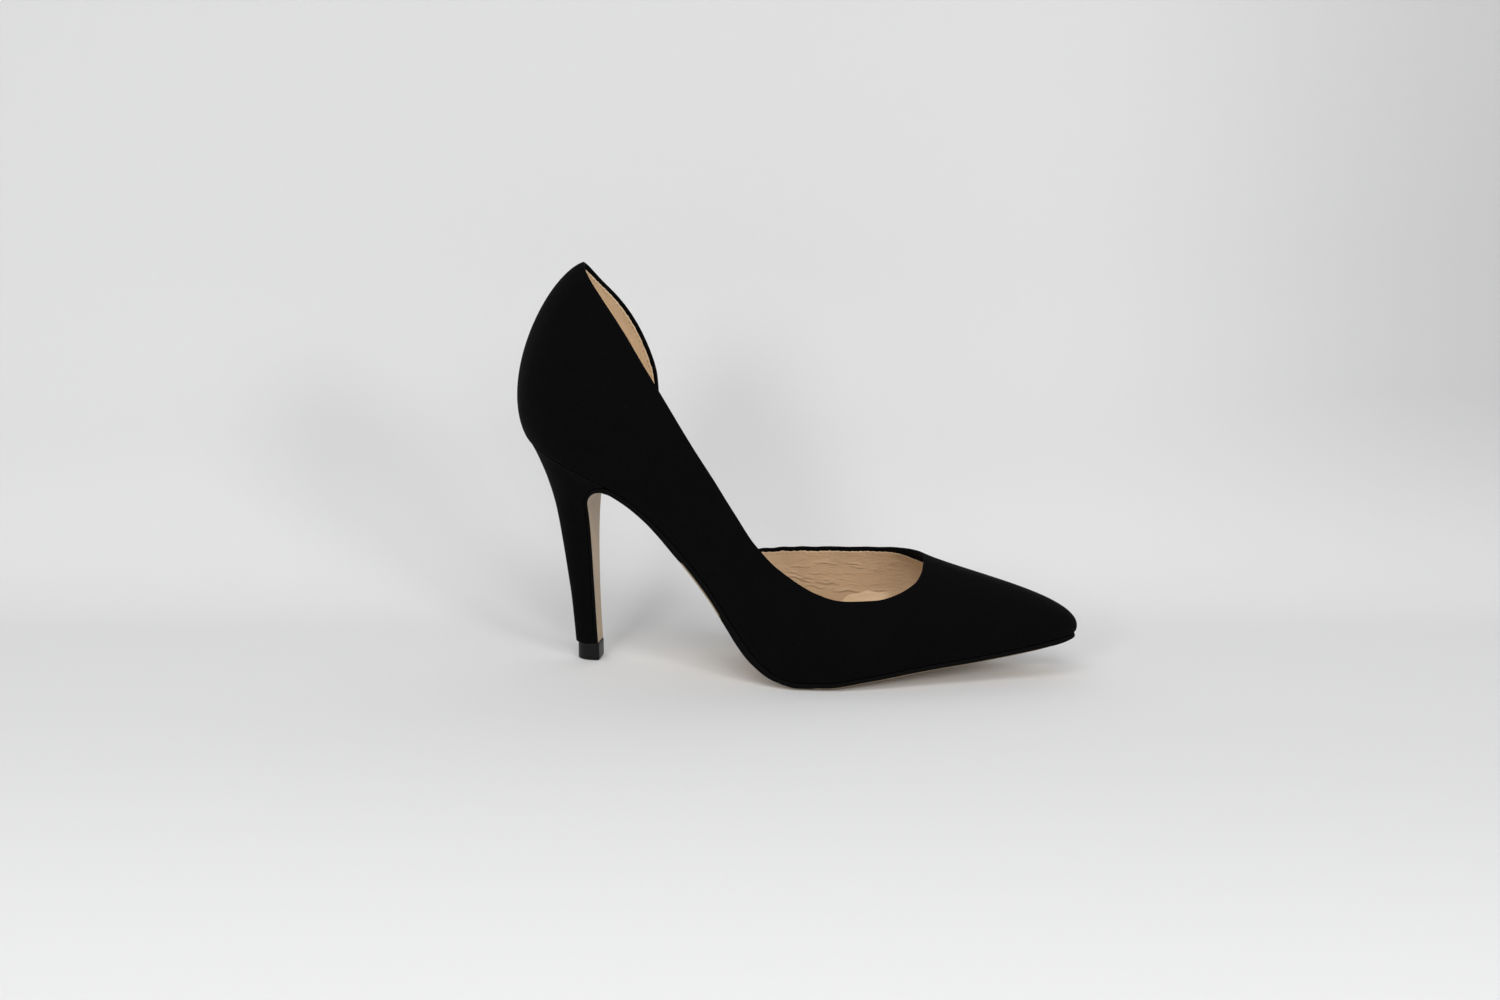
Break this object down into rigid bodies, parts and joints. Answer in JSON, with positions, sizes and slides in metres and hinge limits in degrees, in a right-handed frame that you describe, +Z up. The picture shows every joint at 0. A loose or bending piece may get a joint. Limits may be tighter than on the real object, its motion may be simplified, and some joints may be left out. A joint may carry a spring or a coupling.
{
  "type": "high-heeled pump shoe",
  "caption": "Pointed pump with a slim high heel, a closed outer quarter and an inner side cut down to the arch, open at the collar.",
  "frame": {"origin": "middle of the top lift's floor face, on the floor that the shoe stands on", "axes": "+X towards the toe, +Y towards the shoe's inner side, +Z up"},
  "size_m": [0.2325, 0.0757, 0.1685],
  "materials": {
    "suede": "napped",
    "sock_leather": "matte",
    "sole_leather": "satin",
    "heel_cover": "napped",
    "top_piece": "satin"
  },
  "bodies": {
    "root": {"upper": "suede", "insole": "sock_leather", "outsole": "sole_leather", "heel": "heel_cover", "top_lift": "top_piece"}
  },
  "joints": []
}
